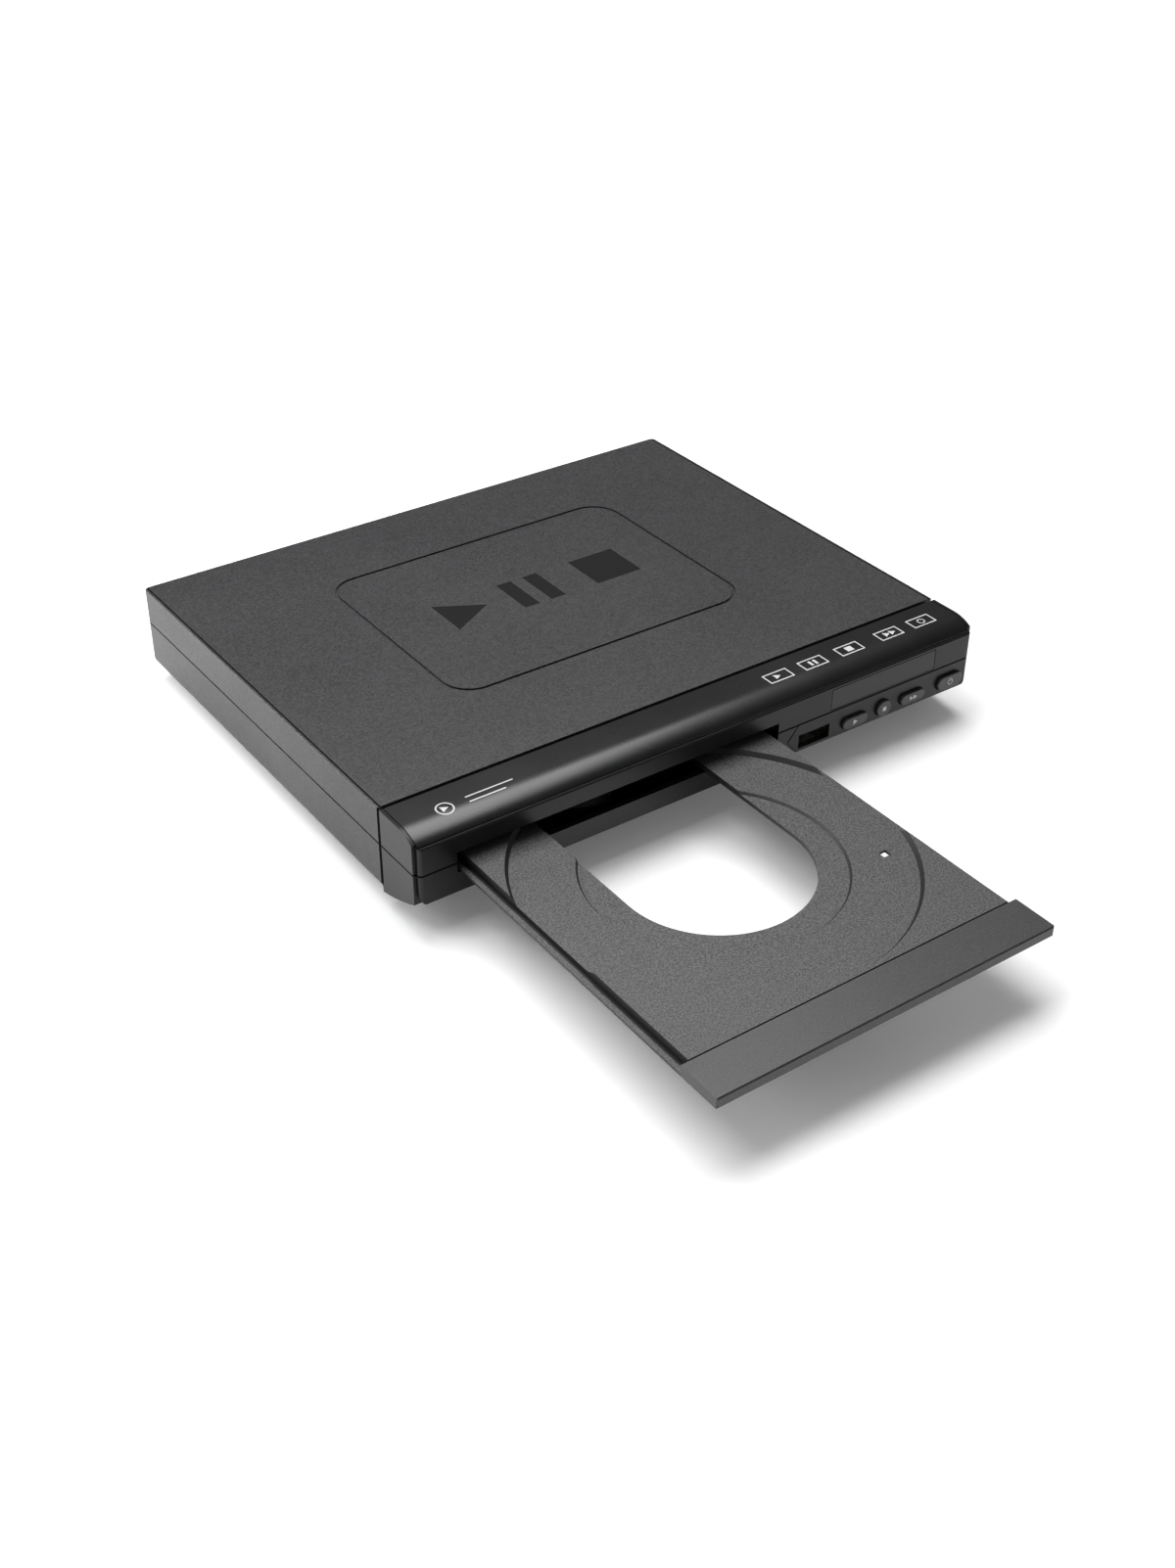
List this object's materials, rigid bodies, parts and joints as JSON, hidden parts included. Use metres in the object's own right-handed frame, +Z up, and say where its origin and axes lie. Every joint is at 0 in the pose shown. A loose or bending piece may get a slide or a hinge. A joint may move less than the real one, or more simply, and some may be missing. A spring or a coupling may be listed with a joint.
{
  "type": "disc player",
  "caption": "Compact disc player with a motor tray that slides out, a rolled glossy front edge, press buttons, a display window and a USB socket.",
  "frame": {"origin": "under the middle of the whole object with its tray out, at the level that the rubber feet stand on", "axes": "+Z up; +Y from the user towards the back, along the tray's travel as it closes; +X to the user's right"},
  "size_m": [0.225, 0.3148, 0.036],
  "materials": {
    "case_texture": "fine spark texture, moulded",
    "front_satin": "satin moulded",
    "front_gloss": "polished",
    "smoked_lens": "polished, smoked",
    "tray_grey": "fine texture, moulded",
    "button_satin": "satin",
    "foot_rubber": "matte",
    "belt_rubber": "matte",
    "screw_steel": "zinc plated",
    "socket_steel": "nickel plated",
    "rod_steel": "ground",
    "sheet_steel": "zinc plated",
    "loader_black": "moulded",
    "gear_natural": "moulded acetal",
    "magnet_ferrite": "ground",
    "pickup_black": "moulded",
    "lens_glass": "polished",
    "board_laminate": "solder mask",
    "component_black": "moulded",
    "winding_yellow": "tape",
    "can_sleeve": "shrink sleeve",
    "sink_aluminium": "extruded",
    "cable_white": "film"
  },
  "bodies": {
    "case": {"bottom_shell": "case_texture", "rubber_feet": "foot_rubber", "top_cover": "case_texture", "case_screws": "screw_steel", "upper_front": "front_satin", "gloss_strip": "front_gloss", "display_window": "smoked_lens", "lower_front": "front_satin", "front_board": "board_laminate", "tact_switches": "component_black", "display_module": "component_black", "usb_socket": "socket_steel", "usb_tongue": "loader_black", "loader_frame": "loader_black", "loader_screws": "screw_steel", "loading_motor": "sheet_steel", "drive_belt": "belt_rubber", "clamp_bridge": "sheet_steel", "bridge_screws": "screw_steel", "main_board": "board_laminate", "main_board_parts": "component_black", "power_board": "board_laminate", "transformer": "winding_yellow", "power_capacitors": "can_sleeve", "heat_sink": "sink_aluminium", "flat_cable": "cable_white", "av_jack_block": "component_black", "av_jack_barrels": "socket_steel", "mains_inlet": "component_black", "mains_pins": "socket_steel"},
    "tray": {"disc_tray": "tray_grey", "tray_door": "tray_grey"},
    "motor_pulley": {"motor_pulley": "gear_natural"},
    "belt_gear": {"belt_gear": "gear_natural"},
    "drive_gear": {"drive_gear": "gear_natural"},
    "cam_slider": {"cam_slider": "gear_natural"},
    "clamper": {"clamper": "loader_black", "clamper_magnet": "magnet_ferrite"},
    "traverse": {"traverse_frame": "loader_black", "dampers": "belt_rubber", "traverse_plate": "sheet_steel", "plate_screws": "screw_steel", "guide_rods": "rod_steel", "spindle_motor": "sheet_steel", "sled_motor": "sheet_steel"},
    "turntable": {"turntable": "loader_black", "turntable_mat": "belt_rubber"},
    "pickup": {"pickup_base": "pickup_black"},
    "lens": {"lens_holder": "pickup_black", "objective_lens": "lens_glass"},
    "lead_screw": {"lead_screw": "rod_steel"},
    "play_button": {"play_button": "button_satin"},
    "stop_button": {"stop_button": "button_satin"},
    "skip_button": {"skip_button": "button_satin"},
    "power_button": {"power_button": "button_satin"}
  },
  "joints": [
    {"name": "tray_slide", "type": "slide", "parent": "case", "child": "tray", "axis": [0, 1, 0], "range_m": [0, 0.1225]},
    {"name": "drive_gear_spin", "type": "hinge", "parent": "case", "child": "drive_gear", "pos_m": [0.013, -0.0089, 0.017], "axis": [0, 0, 1], "range_deg": [-2, 1175]},
    {"name": "belt_gear_spin", "type": "hinge", "parent": "case", "child": "belt_gear", "pos_m": [-0.003, -0.0089, 0.017], "axis": [0, 0, 1], "range_deg": [-2580, 5]},
    {"name": "motor_pulley_spin", "type": "hinge", "parent": "case", "child": "motor_pulley", "pos_m": [-0.0375, -0.0089, 0.0182], "axis": [0, 0, 1], "range_deg": [-6070, 10]},
    {"name": "traverse_tilt", "type": "hinge", "parent": "case", "child": "traverse", "pos_m": [-0.0365, 0.1351, 0.0145], "axis": [-1, 0, 0], "range_deg": [0, 2.4]},
    {"name": "cam_slide", "type": "slide", "parent": "case", "child": "cam_slider", "axis": [1, 0, 0], "range_m": [-0.0001, 0.0121]},
    {"name": "turntable_spin", "type": "hinge", "parent": "traverse", "child": "turntable", "pos_m": [-0.0365, 0.04378, 0.01067], "axis": [0, -0.0419, 0.9991], "continuous": true},
    {"name": "pickup_slide", "type": "slide", "parent": "traverse", "child": "pickup", "axis": [0, 0.9991, 0.0419], "range_m": [0, 0.034]},
    {"name": "lead_screw_spin", "type": "hinge", "parent": "traverse", "child": "lead_screw", "pos_m": [-0.0685, 0.08518, 0.01161], "axis": [0, 0.9991, 0.0419], "range_deg": [-5, 4090]},
    {"name": "lens_focus", "type": "slide", "parent": "pickup", "child": "lens", "axis": [0, -0.0419, 0.9991], "range_m": [-0.0004, 0.0004], "stiffness_N_per_m": 60},
    {"name": "clamper_spin", "type": "hinge", "parent": "case", "child": "clamper", "pos_m": [-0.0365, 0.0437, 0.0275], "axis": [0, 0, 1], "continuous": true},
    {"name": "play_press", "type": "slide", "parent": "case", "child": "play_button", "axis": [0, 1, 0], "range_m": [0, 0.0008], "stiffness_N_per_m": 400},
    {"name": "stop_press", "type": "slide", "parent": "case", "child": "stop_button", "axis": [0, 1, 0], "range_m": [0, 0.0008], "stiffness_N_per_m": 400},
    {"name": "skip_press", "type": "slide", "parent": "case", "child": "skip_button", "axis": [0, 1, 0], "range_m": [0, 0.0008], "stiffness_N_per_m": 400},
    {"name": "power_press", "type": "slide", "parent": "case", "child": "power_button", "axis": [0, 1, 0], "range_m": [0, 0.0008], "stiffness_N_per_m": 400}
  ],
  "couplings": [
    {"joint": "drive_gear_spin", "follows": "tray_slide", "rad_per_m": 166.67},
    {"joint": "belt_gear_spin", "follows": "tray_slide", "rad_per_m": -366.67},
    {"joint": "motor_pulley_spin", "follows": "tray_slide", "rad_per_m": -862.31},
    {"joint": "cam_slide", "follows": "traverse_tilt", "m_per_rad": 0.28648},
    {"joint": "lead_screw_spin", "follows": "pickup_slide", "rad_per_m": 2094.4}
  ]
}
